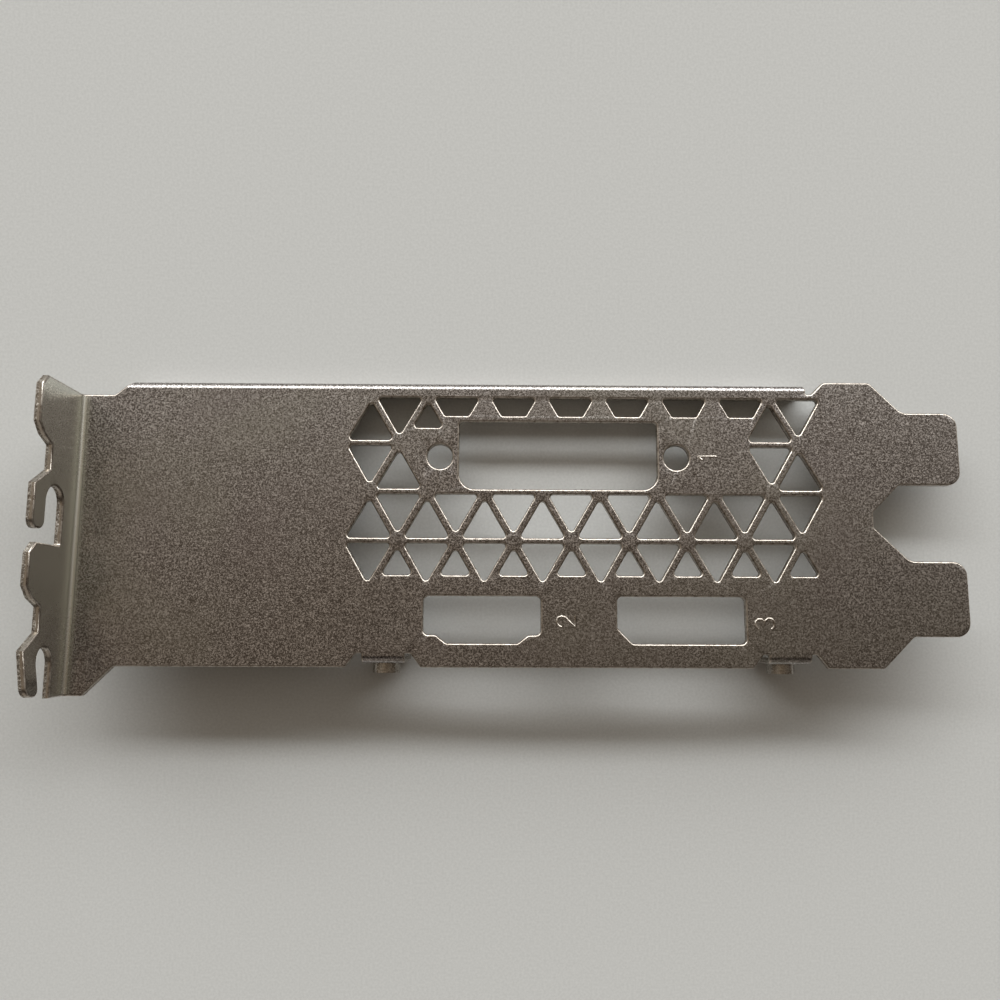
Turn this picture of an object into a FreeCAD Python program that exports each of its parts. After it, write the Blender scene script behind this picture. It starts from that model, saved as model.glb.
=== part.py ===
import FreeCAD, Part
import math
import os

import Sketcher

# Two-slot bracket of a graphics card, punched and folded from one steel sheet.
# X runs from the chassis tab to the tongues, Y across the plate, and Z out of its outer face.
# The body's placement then lays it on the edge of its stiffening flange and the ends of its card tabs.

SIZES = [
    ("sheet", 0.86, "thickness of the steel sheet"),
    ("overall_length", 120.02, "outer face of the chassis tab to the tips of the tongues"),
    ("plate_width", 38.74, "plate across two slots"),
    ("slot_pitch", 20.32, "from one expansion slot to the next"),
    ("fold_inside", 0.14, "inside radius of the flange and card tab folds"),
    ("chassis_fold_inside", 0.5, "inside radius of the chassis tab fold"),
    ("fold_overlap", 0.2, "flat sheet drawn together with a fold"),
    ("chassis_top", 36.4, "upper end of the chassis tab above the lower edge of the plate"),
    ("chassis_drop", 3.81, "lower end of the chassis tab below the lower edge of the plate"),
    ("chassis_height", 10.57, "free edge of the chassis tab above the outer face"),
    ("flare_foot", 3.3, "where the flare towards the chassis tab ends"),
    ("corner_cut_start", 5.05, "start of the slanted corner beside the chassis tab"),
    ("corner_cut_run", 2.8, "length of that corner along the plate"),
    ("corner_round", 0.4, "rounding of small outline corners"),
    ("tongue_width", 10.0, "width of a tongue"),
    ("tongue_low", 4.18, "lower edge of the lower tongue"),
    ("tongue_reach", 7.55, "straight length of a tongue"),
    ("tongue_round", 1.9, "rounding of the tips of the tongues"),
    ("root_round", 0.8, "rounding where the lower side of a tongue meets its slope"),
    ("upper_root_round", 1.9, "rounding where the upper side of a tongue meets its slope"),
    ("shoulder_round", 0.9, "rounding of the shoulder above the upper tongue"),
    ("crotch_x", 107.85, "bottom of the notch between the tongues"),
    ("crotch_low", 18.7, "lower corner of that notch"),
    ("crotch_high", 20.75, "upper corner of that notch"),
    ("flange_end", 99.4, "end of the stiffening flange"),
    ("flange_depth", 3.8, "outer face to the free edge of the flange"),
    ("flange_inset", 0.4, "flange behind the upper edge of the plate"),
    ("flange_relief", 0.3, "depth of the relief below the flange fold"),
    ("flange_relief_floor", 0.75, "floor of that relief"),
    ("card_tab_first", 42.25, "middle of the first card tab"),
    ("card_tab_spacing", 53.65, "from one card tab to the other"),
    ("card_tab_width", 5.7, "width of a card tab"),
    ("card_tab_depth", 9.8, "outer face to the free end of a card tab"),
    ("card_tab_inset", 0.55, "card tab behind the lower edge of the plate"),
    ("card_tab_round", 0.9, "rounding of the free corners of a card tab"),
    ("card_relief_floor", 0.7, "floor of the relief beside a card tab"),
    ("card_relief_depth", 0.25, "depth of that relief below the card tab's fold"),
    ("card_relief_round", 0.12, "rounding where a card tab meets its relief"),
    ("card_relief_mouth", 2.1, "mouth of the relief beside a card tab"),
    ("boss_depth", 4.7, "boss axis below the outer face"),
    ("boss_diameter", 3.7, "outside of the drawn boss"),
    ("boss_reach", 1.4, "boss out of its card tab"),
    ("boss_bore", 2.5, "tapping bore of the boss"),
    ("boss_draw", 0.35, "rounding where the sheet is drawn into the boss"),
    ("screw_slot_width", 4.3, "screw slot in the chassis tab"),
    ("screw_slot_height", 5.5, "middle of the screw slot above the outer face"),
    ("screw_slot_end", 22.9, "closed end of the upper screw slot"),
    ("prong_tip", 17.1, "tip of the prong beside the upper screw slot"),
    ("prong_round", 1.15, "rounding of the tip of a prong"),
    ("slot_mouth", 15.4, "far side of the mouth of the upper screw slot"),
    ("lobe_cut", 1.35, "cut corners of the lobes of the chassis tab"),
    ("notch_floor", 7.15, "floor of a notch above the outer face"),
    ("notch_low", 24.75, "lower end of the floor of the upper notch"),
    ("notch_high", 27.9, "upper end of the floor of the upper notch"),
    ("notch_knee_height", 9.3, "knee in the upper side of a notch above the outer face"),
    ("notch_knee", 1.0, "run of a notch's side from its floor to the knee"),
    ("notch_brow", 2.45, "run of a notch's side from its floor to the free edge"),
    ("notch_slope", 2.15, "run of the lower side of a notch"),
    ("dvi_centre_x", 65.4, "middle of the wide port opening"),
    ("dvi_centre_y", 28.3, "middle of the wide port opening"),
    ("dvi_width", 26.85, "wide port opening"),
    ("dvi_height", 9.25, "wide port opening"),
    ("dvi_round_low", 2.1, "lower corners of the wide port opening"),
    ("dvi_round_high", 0.55, "upper corners of the wide port opening"),
    ("jack_spacing", 32.06, "between the jackscrew holes"),
    ("jack_bore", 3.4, "jackscrew hole"),
    ("jack_y", 28.1, "jackscrew holes above the lower edge"),
    ("port_low", 3.15, "lower edge of the two small port openings"),
    ("port_high", 9.32, "upper edge of the two small port openings"),
    ("port_round", 0.7, "corners of the two small port openings"),
    ("stepped_centre", 55.2, "middle of the stepped port opening"),
    ("stepped_width", 15.5, "stepped port opening"),
    ("stepped_shelf", 12.2, "between the steps of the stepped port opening"),
    ("stepped_foot", 9.4, "floor of the stepped port opening"),
    ("stepped_rise", 1.1, "height of its steps above its floor"),
    ("keyed_start", 73.12, "left side of the keyed port opening"),
    ("keyed_width", 17.0, "keyed port opening"),
    ("keyed_cut", 2.0, "cut corner of the keyed port opening"),
    ("vent_first", 39.95, "first column of the vents"),
    ("vent_pitch", 7.76, "from one vent to the next of its kind"),
    ("vent_row", 6.65, "from one row of vents to the next"),
    ("vent_base", 10.42, "base level of the lowest row of vents"),
    ("vent_side", 6.15, "side of a triangular vent"),
    ("vent_height", 5.3, "height of a triangular vent"),
    ("vent_stagger", 0.6, "tips of the hanging vents above the bases of the standing ones"),
    ("vent_round", 0.4, "corners of a vent"),
    ("vent_short_base", 12.1, "base of the cut vents in the lowest row"),
    ("vent_corner_base", 32.1, "base of the cut vent over the jackscrew hole"),
    ("vent_bar", 0.85, "bar between the wide port opening and the vents above it"),
]

SHEET = "size.sheet"
CHASSIS_BEND = "size.sheet + size.chassis_fold_inside"
FOLD_OUTSIDE = "size.sheet + size.fold_inside"
FLANGE_FACE = "size.plate_width - size.flange_inset"
FLANGE_BEND = f"{FLANGE_FACE} - ({FOLD_OUTSIDE})"
TAB_BEND = f"size.card_tab_inset + {FOLD_OUTSIDE}"
TONGUE_ROOT = "size.overall_length - size.tongue_reach"
CORNER_RISE = "size.plate_width - size.chassis_top"
CORNER_SLANT = f"size.corner_cut_run / ({CORNER_RISE})"
FLANGE_START = f"size.corner_cut_start + {CORNER_SLANT} * ({FLANGE_BEND} - size.chassis_top)"
SMALL_ROUND = "size.corner_round"
RELIEF_ROUND = "size.flange_relief_floor / 3"
NEARLY_HALF = 0.499
PAST_ROUND = 1.1
CUT_MARGIN = 1.0
CLOSE = 0.01

document = FreeCAD.newDocument("graphics_card_bracket")
size = document.addObject("Spreadsheet::Sheet", "size")
for row, (alias, value, note) in enumerate(SIZES, start=1):
    size.set(f"A{row}", note)
    size.set(f"B{row}", str(value))
    size.setAlias(f"B{row}", alias)
document.recompute()

body = document.addObject("PartDesign::Body", "bracket")
body.Label = "bracket"


def number(expression):
    """Value of an expression on the sizes, in millimetres or degrees."""
    value = size.evalExpression(expression)
    return float(getattr(value, "Value", value))


def origin_feature(role):
    """Plane or axis of the body's own origin."""
    return next(item for item in body.Origin.OriginFeatures if item.Role == role)


def new_sketch(name, role, offset=None):
    """Sketch on one of the body's origin planes, moved along the plane's normal by offset."""
    sketch = body.newObject("Sketcher::SketchObject", name)
    sketch.AttachmentSupport = [(origin_feature(role), "")]
    sketch.MapMode = "FlatFace"
    if offset:
        sketch.setExpression("AttachmentOffset.Base.z", offset)
    return sketch


def pin(sketch, geometry, position, x, y):
    """Holds a point of a sketch at two expressions, or on an axis where one of them is 0."""
    for kind, axis, expression in (("DistanceX", -2, x), ("DistanceY", -1, y)):
        if expression == "0":
            sketch.addConstraint(Sketcher.Constraint("PointOnObject", geometry, position, axis))
            continue
        held = Sketcher.Constraint(kind, -1, 1, geometry, position, number(expression))
        sketch.setExpression(f"Constraints[{sketch.addConstraint(held)}]", expression)


def add_outline(sketch, corners):
    """Closed outline through corners given as (x, y, radius) expressions, sharp where the radius is None."""
    points = [FreeCAD.Vector(number(x), number(y), 0) for x, y, _ in corners]
    radii = [number(radius) if radius else 0.0 for _, _, radius in corners]
    count = len(corners)
    arrive, leave, centre, turn = [], [], [], []
    for index, point in enumerate(points):
        back = (points[index - 1] - point).normalize()
        ahead = (points[(index + 1) % count] - point).normalize()
        half = back.getAngle(ahead) / 2
        reach = radii[index] / math.tan(half)
        arrive.append(point + back * reach)
        leave.append(point + ahead * reach)
        centre.append(point + (back + ahead).normalize() * (radii[index] / math.sin(half)))
        turn.append(ahead.cross(back).z)
    lines = [
        sketch.addGeometry(Part.LineSegment(leave[index], arrive[(index + 1) % count]))
        for index in range(count)
    ]
    for index, (x, y, radius) in enumerate(corners):
        before, after = lines[index - 1], lines[index]
        if not radius:
            sketch.addConstraint(Sketcher.Constraint("Coincident", before, 2, after, 1))
            pin(sketch, after, 1, x, y)
            continue
        first, last = (arrive, leave) if turn[index] > 0 else (leave, arrive)
        spokes = [end[index] - centre[index] for end in (first, last)]
        angles = [math.atan2(spoke.y, spoke.x) for spoke in spokes]
        circle = Part.Circle(centre[index], FreeCAD.Vector(0, 0, 1), radii[index])
        arc = sketch.addGeometry(Part.ArcOfCircle(circle, *angles))
        arriving = 1 if turn[index] > 0 else 2
        sketch.addConstraint(Sketcher.Constraint("Tangent", before, 2, arc, arriving))
        sketch.addConstraint(Sketcher.Constraint("Tangent", arc, 3 - arriving, after, 1))
        rounding = sketch.addConstraint(Sketcher.Constraint("Radius", arc, radii[index]))
        sketch.setExpression(f"Constraints[{rounding}]", radius)
        corner = sketch.addGeometry(Part.Point(points[index]), True)
        sketch.addConstraint(Sketcher.Constraint("PointOnObject", corner, 1, before))
        sketch.addConstraint(Sketcher.Constraint("PointOnObject", corner, 1, after))
        pin(sketch, corner, 1, x, y)


def add_circle(sketch, x, y, diameter):
    """Circle at two expressions, with a diameter given as one."""
    place = FreeCAD.Vector(number(x), number(y), 0)
    circle = sketch.addGeometry(Part.Circle(place, FreeCAD.Vector(0, 0, 1), number(diameter) / 2))
    held = sketch.addConstraint(Sketcher.Constraint("Diameter", circle, number(diameter)))
    sketch.setExpression(f"Constraints[{held}]", diameter)
    pin(sketch, circle, 3, x, y)


def pad(name, sketch, length, reverse=False):
    """Adds a sketch to the body, along its normal or against it."""
    feature = body.newObject("PartDesign::Pad", name)
    feature.Profile = sketch
    feature.Reversed = reverse
    feature.setExpression("Length", length)
    finish(feature, 1)
    return feature


def pocket(name, sketch, length, reverse=False):
    """Cuts a sketch out of the body, against its normal or along it."""
    feature = body.newObject("PartDesign::Pocket", name)
    feature.Profile = sketch
    feature.Reversed = reverse
    feature.setExpression("Length", length)
    finish(feature, -1)
    return feature


def repeat(name, features, axis, length, occurrences, sign, reverse=False):
    """Repeats features along one of the body's axes, the last one at length from the first."""
    pattern = body.newObject("PartDesign::LinearPattern", name)
    pattern.Originals = features
    pattern.Direction = (origin_feature(axis), [""])
    pattern.Reversed = reverse
    pattern.setExpression("Length", length)
    pattern.Occurrences = occurrences
    finish(pattern, sign)
    return pattern


volumes = [0.0]


def finish(feature, sign):
    """Makes a feature the body's tip and stops unless it adds (1) or removes (-1) material."""
    body.Tip = feature
    document.recompute()
    volume = feature.Shape.Volume
    change = volume - volumes[-1]
    if change * sign <= 0:
        raise RuntimeError(f"{feature.Name} changed the volume by {change:.4f}")
    volumes.append(volume)


def card_relief(middle):
    """Corners of the notch in the lower edge that frees a card tab's fold."""
    half = "size.card_tab_width / 2"
    floor = f"{TAB_BEND} + size.card_relief_depth"
    left = [
        (f"{half} + size.card_relief_mouth", "0", SMALL_ROUND),
        (f"{half} + size.card_relief_floor", floor, SMALL_ROUND),
        (half, floor, "size.card_relief_round"),
        (half, TAB_BEND, None),
    ]
    return (
        [(f"{middle} - ({reach})", level, radius) for reach, level, radius in left]
        + [(f"{middle} + {reach}", level, radius) for reach, level, radius in reversed(left)]
    )


def tongue(lower, root_low, root_high):
    """Corners of a tongue from its lower root to its upper one."""
    upper = f"{lower} + size.tongue_width"
    return [
        (root_low, lower, "size.root_round"),
        ("size.overall_length", lower, "size.tongue_round"),
        ("size.overall_length", upper, "size.tongue_round"),
        (root_high, upper, "size.upper_root_round"),
    ]


def plate():
    """Flat plate with its tongues, reliefs, flare and slanted corner."""
    first_tab = "size.card_tab_first"
    second_tab = f"{first_tab} + size.card_tab_spacing"
    upper_tongue = "size.tongue_low + size.slot_pitch"
    crotch_root = f"size.crotch_x + ({upper_tongue}) - size.crotch_high"
    slope_foot = f"{TONGUE_ROOT} - size.tongue_low"
    shoulder = f"{TONGUE_ROOT} - (size.plate_width - ({upper_tongue}) - size.tongue_width)"
    relief_y = f"{FLANGE_BEND} - size.flange_relief"
    relief_x = "size.flange_end + size.flange_relief_floor"
    corners = [
        (CHASSIS_BEND, "-size.chassis_drop", None),
        ("size.flare_foot", "-size.chassis_drop", SMALL_ROUND),
        ("size.flare_foot + size.chassis_drop", "0", SMALL_ROUND),
        *card_relief(first_tab),
        *card_relief(second_tab),
        (slope_foot, "0", SMALL_ROUND),
        *tongue("size.tongue_low", TONGUE_ROOT, TONGUE_ROOT),
        ("size.crotch_x", "size.crotch_low", SMALL_ROUND),
        ("size.crotch_x", "size.crotch_high", SMALL_ROUND),
        *tongue(upper_tongue, crotch_root, TONGUE_ROOT),
        (shoulder, "size.plate_width", "size.shoulder_round"),
        (f"{relief_x} + size.plate_width - ({relief_y})", "size.plate_width", "size.shoulder_round"),
        (relief_x, relief_y, RELIEF_ROUND),
        ("size.flange_end", relief_y, RELIEF_ROUND),
        ("size.flange_end", FLANGE_BEND, None),
        (FLANGE_START, FLANGE_BEND, None),
        ("size.corner_cut_start", "size.chassis_top", SMALL_ROUND),
        (CHASSIS_BEND, "size.chassis_top", None),
    ]
    sketch = new_sketch("plate_outline", "XY_Plane")
    add_outline(sketch, corners)
    pad("plate", sketch, SHEET, reverse=True)


def add_fold(sketch, corner_x, corner_y, side_x, side_y, inside, flat, wall):
    """Section of a sheet folded by 90 degrees round the inside corner, as far as flat and wall."""
    add_outline(sketch, [
        (flat, corner_y, None),
        (corner_x, corner_y, inside),
        (corner_x, wall, None),
        (side_x, wall, None),
        (side_x, side_y, f"{inside} + size.sheet"),
        (flat, side_y, None),
    ])


def chassis_tab():
    """Tab that the case's screws hold, folded up from the left end, with its notches and screw slots."""
    section = new_sketch("chassis_fold_section", "XZ_Plane", "-size.chassis_top")
    flat = f"{CHASSIS_BEND} + size.fold_overlap"
    add_fold(section, SHEET, "0", "0", "-size.sheet", "size.chassis_fold_inside", flat, "size.chassis_height")
    pad("chassis_tab", section, "size.chassis_top + size.chassis_drop")

    free = f"size.chassis_height + {CUT_MARGIN}"
    low = "size.screw_slot_height - size.screw_slot_width / 2"
    high = "size.screw_slot_height + size.screw_slot_width / 2"
    slot_round = f"size.screw_slot_width * {NEARLY_HALF}"
    prong_lead = f"size.prong_tip + size.prong_round * {PAST_ROUND}"
    cutout = new_sketch("screw_slot_and_notch", "YZ_Plane")
    add_outline(cutout, [
        ("size.slot_mouth", low, SMALL_ROUND),
        ("size.screw_slot_end", low, slot_round),
        ("size.screw_slot_end", high, slot_round),
        ("size.prong_tip", high, "size.prong_round"),
        ("size.prong_tip", "size.chassis_height", "size.prong_round"),
        (prong_lead, "size.chassis_height", None),
        (prong_lead, free, None),
        (f"size.slot_mouth - size.lobe_cut - {CUT_MARGIN}", free, None),
        ("size.slot_mouth", "size.chassis_height - size.lobe_cut", None),
    ])
    add_outline(cutout, [
        ("size.notch_low", "size.notch_floor", None),
        ("size.notch_high", "size.notch_floor", None),
        ("size.notch_high + size.notch_knee", "size.notch_knee_height", None),
        ("size.notch_high + size.notch_brow", "size.chassis_height", None),
        ("size.notch_high + size.notch_brow", free, None),
        ("size.notch_low - size.notch_slope", free, None),
        ("size.notch_low - size.notch_slope", "size.chassis_height", None),
    ])
    beyond = f"size.chassis_top + {CUT_MARGIN}"
    add_outline(cutout, [
        (beyond, f"size.chassis_height - size.lobe_cut - {CUT_MARGIN}", None),
        (beyond, free, None),
        (f"size.chassis_top - size.lobe_cut - {CUT_MARGIN}", free, None),
    ])
    cut = pocket("screw_slot", cutout, SHEET, reverse=True)
    repeat("screw_slots", [cut], "Y_Axis", "size.slot_pitch", 2, -1, reverse=True)


def flange():
    """Stiffening flange folded down along the upper edge, cut off in line with the slanted corner."""
    section = new_sketch("flange_section", "YZ_Plane", FLANGE_START)
    inner_face = f"{FLANGE_FACE} - size.sheet"
    flat = f"{FLANGE_BEND} - size.fold_overlap"
    wall = "-size.flange_depth"
    add_fold(section, inner_face, "-size.sheet", FLANGE_FACE, "0", "size.fold_inside", flat, wall)
    pad("flange", section, f"size.flange_end - ({FLANGE_START})")

    corner_end = "size.corner_cut_start + size.corner_cut_run"
    above = f"size.plate_width + {CUT_MARGIN}"
    trim = new_sketch("flange_corner", "XY_Plane")
    add_outline(trim, [
        (FLANGE_START, FLANGE_BEND, None),
        (corner_end, "size.plate_width", None),
        (corner_end, above, None),
        (FLANGE_START, above, None),
    ])
    pocket("flange_slant", trim, f"size.flange_depth + {CUT_MARGIN}")


def card_tabs():
    """Two tabs folded down from the lower edge, each with a drawn and bored boss for a card screw."""
    start = "size.card_tab_first - size.card_tab_width / 2"
    section = new_sketch("card_tab_section", "YZ_Plane", start)
    inner_face = "size.card_tab_inset + size.sheet"
    flat = f"{TAB_BEND} + size.fold_overlap"
    wall = "-size.card_tab_depth"
    add_fold(section, inner_face, "-size.sheet", "size.card_tab_inset", "0", "size.fold_inside", flat, wall)
    tab = pad("card_tab", section, "size.card_tab_width")

    ring = new_sketch("boss_ring", "XZ_Plane", f"-({inner_face})")
    add_circle(ring, "size.card_tab_first", "-size.boss_depth", "size.boss_diameter")
    boss = pad("boss", ring, "size.sheet + size.boss_reach")

    hole = new_sketch("boss_hole", "XZ_Plane", f"size.boss_reach - size.card_tab_inset + {CUT_MARGIN}")
    add_circle(hole, "size.card_tab_first", "-size.boss_depth", "size.boss_bore")
    bore = pocket("boss_bore", hole, f"size.sheet + size.boss_reach + 2 * {CUT_MARGIN}")
    repeat("card_tabs", [tab, boss, bore], "X_Axis", "size.card_tab_spacing", 2, 1)


def ports():
    """Openings for three sockets, and the two holes for the jackscrews of the wide one."""
    sketch = new_sketch("port_openings", "XY_Plane")
    left, right = "size.dvi_centre_x - size.dvi_width / 2", "size.dvi_centre_x + size.dvi_width / 2"
    low, high = "size.dvi_centre_y - size.dvi_height / 2", "size.dvi_centre_y + size.dvi_height / 2"
    add_outline(sketch, [
        (left, low, "size.dvi_round_low"),
        (right, low, "size.dvi_round_low"),
        (right, high, "size.dvi_round_high"),
        (left, high, "size.dvi_round_high"),
    ])
    for side in ("-", "+"):
        add_circle(sketch, f"size.dvi_centre_x {side} size.jack_spacing / 2", "size.jack_y", "size.jack_bore")

    corner = "size.port_round"
    shelf = "size.port_low + size.stepped_rise"
    halves = [("size.stepped_width", "size.port_high"), ("size.stepped_width", shelf),
              ("size.stepped_shelf", shelf), ("size.stepped_foot", "size.port_low")]
    add_outline(
        sketch,
        [(f"size.stepped_centre - {width} / 2", level, corner) for width, level in halves]
        + [(f"size.stepped_centre + {width} / 2", level, corner) for width, level in reversed(halves)],
    )
    keyed_end = "size.keyed_start + size.keyed_width"
    add_outline(sketch, [
        ("size.keyed_start", "size.port_high", corner),
        ("size.keyed_start", "size.port_low + size.keyed_cut", corner),
        ("size.keyed_start + size.keyed_cut", "size.port_low", corner),
        (keyed_end, "size.port_low", corner),
        (keyed_end, "size.port_high", corner),
    ])
    pocket("ports", sketch, SHEET)


def vent_x(column):
    """Middle of a column of vents, half a pitch apart."""
    return f"size.vent_first + {column} * size.vent_pitch / 2"


def vent_level(row):
    """Base level of a row of vents, counted from the lowest."""
    return f"size.vent_base + {row} * size.vent_row"


def add_standing_vent(sketch, column, row, base=None):
    """Triangle on its base, whose foot is cut off at base where one is given."""
    level = vent_level(row)
    tip = f"{level} + size.vent_height"
    base = base or level
    half = f"size.vent_side / 2 * ({tip} - ({base})) / size.vent_height"
    add_outline(sketch, [
        (f"{vent_x(column)} - {half}", base, "size.vent_round"),
        (f"{vent_x(column)} + {half}", base, "size.vent_round"),
        (vent_x(column), tip, "size.vent_round"),
    ])


def add_hanging_vent(sketch, column, row, floor=None):
    """Triangle on its tip, or cut off at floor where one is given."""
    tip = f"{vent_level(row)} + size.vent_stagger"
    top = f"{tip} + size.vent_height"
    half = "size.vent_side / 2"
    corners = [
        (f"{vent_x(column)} + {half}", top, "size.vent_round"),
        (f"{vent_x(column)} - {half}", top, "size.vent_round"),
    ]
    if floor:
        half = f"size.vent_side / 2 * ({floor} - ({tip})) / size.vent_height"
        corners.append((f"{vent_x(column)} - {half}", floor, "size.vent_round"))
        corners.append((f"{vent_x(column)} + {half}", floor, "size.vent_round"))
    else:
        corners.append((vent_x(column), tip, "size.vent_round"))
    add_outline(sketch, corners)


def vents():
    """Lattice of triangular vents in four rows, left out or cut short round the wide port opening."""
    columns = 8
    pitch_run = f"{columns - 1} * size.vent_pitch"

    lowest = new_sketch("vents_lowest_row", "XY_Plane")
    add_hanging_vent(lowest, 0, 0)
    add_standing_vent(lowest, 1, 0, base="size.vent_short_base")
    cut = pocket("vent_pair_lowest", lowest, SHEET)
    repeat("vents_lowest", [cut], "X_Axis", pitch_run, columns, -1)

    second = new_sketch("vents_second_row", "XY_Plane")
    add_standing_vent(second, 0, 1)
    add_hanging_vent(second, 1, 1)
    cut = pocket("vent_pair_second", second, SHEET)
    repeat("vents_second", [cut], "X_Axis", pitch_run, columns, -1)

    ends = new_sketch("vents_beside_port", "XY_Plane")
    add_hanging_vent(ends, 0, 2)
    add_standing_vent(ends, 1, 2)
    add_standing_vent(ends, 0, 3)
    add_hanging_vent(ends, 1, 3)
    cut = pocket("vent_cluster", ends, SHEET)
    repeat("vent_clusters", [cut], "X_Axis", pitch_run, 2, -1)

    single = new_sketch("vent_over_jackscrew", "XY_Plane")
    add_standing_vent(single, 2, 3, base="size.vent_corner_base")
    pocket("vent_corner", single, SHEET)

    above_port = 6
    floor = "size.dvi_centre_y + size.dvi_height / 2 + size.vent_bar"
    over = new_sketch("vents_over_port", "XY_Plane")
    add_hanging_vent(over, 3, 3, floor=floor)
    cut = pocket("vent_over_port", over, SHEET)
    repeat("vents_over", [cut], "X_Axis", f"{above_port - 1} * size.vent_pitch", above_port, -1)


def round_edges(name, radius, wanted):
    """Rounds the edges of the body for which wanted is true."""
    base = body.Tip
    names = [f"Edge{index}" for index, edge in enumerate(base.Shape.Edges, start=1) if wanted(edge)]
    feature = body.newObject("PartDesign::Fillet", name)
    feature.Base = (base, names)
    feature.setExpression("Radius", radius)
    finish(feature, -1)


def card_tab_corner(edge):
    """True on the short edges at the free corners of the card tabs."""
    box = edge.BoundBox
    at_end = abs(box.ZMax + number("size.card_tab_depth")) < CLOSE
    return at_end and box.XLength < CLOSE and abs(box.YLength - number(SHEET)) < CLOSE


def boss_mouth(edge):
    """True on the round edges where the sheet is drawn into the bosses."""
    if not isinstance(edge.Curve, Part.Circle):
        return False
    bored = abs(edge.Curve.Radius - number("size.boss_bore / 2")) < CLOSE
    return bored and abs(edge.Curve.Center.y - number("size.card_tab_inset + size.sheet")) < CLOSE


plate()
chassis_tab()
flange()
card_tabs()
round_edges("card_tab_corners", "size.card_tab_round", card_tab_corner)
round_edges("boss_mouths", "size.boss_draw", boss_mouth)
ports()
vents()

# Resting pose: the flange's free edge and the inner ends of the card tabs touch the ground.
span = f"({FLANGE_FACE} - size.card_tab_inset - size.sheet)"
tilt = f"atan((size.card_tab_depth - size.flange_depth) / {span})"
across = "(size.plate_width - size.chassis_drop)"
body.Placement.Rotation = FreeCAD.Rotation(FreeCAD.Vector(1, 0, 0), 0)
body.setExpression("Placement.Rotation.Axis.x", "1")
body.setExpression("Placement.Rotation.Axis.y", "0")
body.setExpression("Placement.Rotation.Axis.z", "0")
body.setExpression("Placement.Rotation.Angle", f"-{tilt}")
body.setExpression("Placement.Base.x", "-size.overall_length / 2")
body.setExpression("Placement.Base.y", f"-({across} * cos({tilt}) - size.sheet * sin({tilt})) / 2")
body.setExpression("Placement.Base.z", f"({FLANGE_FACE}) * sin({tilt}) + size.flange_depth * cos({tilt})")
document.recompute()

failed = [item.Name for item in document.Objects if {"Invalid", "Error"} & set(item.State)]
if failed:
    raise RuntimeError(f"failed objects: {failed}")
if body.Shape.isNull() or not body.Shape.isValid() or len(body.Shape.Solids) != 1:
    raise RuntimeError("the bracket is not one valid solid")

os.makedirs("parts", exist_ok=True)
body.Shape.exportStep(f"parts/{body.Label}.step")
box = body.Shape.BoundBox
print(f"{body.Label}: {body.Shape.Volume:.1f} mm3, {len(body.Shape.Faces)} faces, tilt {number(tilt):.2f}")
print(f"box {box.XMin:.3f} {box.YMin:.3f} {box.ZMin:.3f} to {box.XMax:.3f} {box.YMax:.3f} {box.ZMax:.3f}")
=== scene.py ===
"""Looks of a two-slot graphics card bracket: plated and folded sheet steel, lying on a pale floor."""

from __future__ import annotations

import logging
import math
from collections.abc import Iterator
from dataclasses import dataclass
from enum import Enum
from typing import Any

import bmesh
import bpy
from mathutils import Euler, Matrix, Vector, geometry


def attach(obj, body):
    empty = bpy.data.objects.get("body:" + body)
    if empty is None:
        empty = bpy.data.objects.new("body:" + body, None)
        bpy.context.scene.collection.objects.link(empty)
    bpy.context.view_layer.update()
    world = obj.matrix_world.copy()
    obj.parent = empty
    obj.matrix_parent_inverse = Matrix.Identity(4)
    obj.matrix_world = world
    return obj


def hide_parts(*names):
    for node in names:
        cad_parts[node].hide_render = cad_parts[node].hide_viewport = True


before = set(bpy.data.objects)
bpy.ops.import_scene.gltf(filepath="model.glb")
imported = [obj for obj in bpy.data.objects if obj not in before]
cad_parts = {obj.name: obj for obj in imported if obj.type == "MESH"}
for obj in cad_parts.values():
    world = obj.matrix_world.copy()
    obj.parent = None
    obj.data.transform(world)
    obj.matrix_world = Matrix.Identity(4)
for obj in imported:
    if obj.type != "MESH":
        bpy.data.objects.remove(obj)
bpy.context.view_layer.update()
LOG = logging.getLogger("bracket")
MM = 0.001
BODY = "root"
NODE = "bracket"
WALL_DEPTH = "wall_depth"
NOISE_MIDDLE = 0.5

Colour = tuple[float, float, float]
Span = tuple[float, float]
Corners = tuple[int, ...]
Rings = dict[int, list[int]]


class Value:
    """A socket that carries a number, so that shader maths reads as arithmetic."""

    def __init__(self, graph: Graph, socket: bpy.types.NodeSocket) -> None:
        """Wraps an output socket of a graph."""
        self.graph = graph
        self.socket = socket

    def _math(self, operation: str, first: Value | float, second: Value | float) -> Value:
        """Adds a Math node on two numbers or values."""
        return self.graph.node("ShaderNodeMath", {"operation": operation}, {0: first, 1: second})

    def __add__(self, other: Value | float) -> Value:
        """Sum with a number or value."""
        return self._math("ADD", self, other)

    def __radd__(self, other: float) -> Value:
        """Sum with a number on the left."""
        return self._math("ADD", other, self)

    def __sub__(self, other: Value | float) -> Value:
        """Difference from a number or value."""
        return self._math("SUBTRACT", self, other)

    def __rsub__(self, other: float) -> Value:
        """Difference of a number on the left."""
        return self._math("SUBTRACT", other, self)

    def __mul__(self, other: Value | float) -> Value:
        """Product with a number or value."""
        return self._math("MULTIPLY", self, other)

    def __rmul__(self, other: float) -> Value:
        """Product with a number on the left."""
        return self._math("MULTIPLY", other, self)

    def ramp(self, span: Span) -> Value:
        """Smooth step of the value.

        Args:
            span: Where the step leaves 0 and where it reaches 1.

        Returns:
            A value from 0 to 1.
        """
        low, high = span
        settings = {"interpolation_type": "SMOOTHSTEP"}
        sockets = {"Value": self, "From Min": low, "From Max": high}
        return self.graph.node("ShaderNodeMapRange", settings, sockets)


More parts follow.
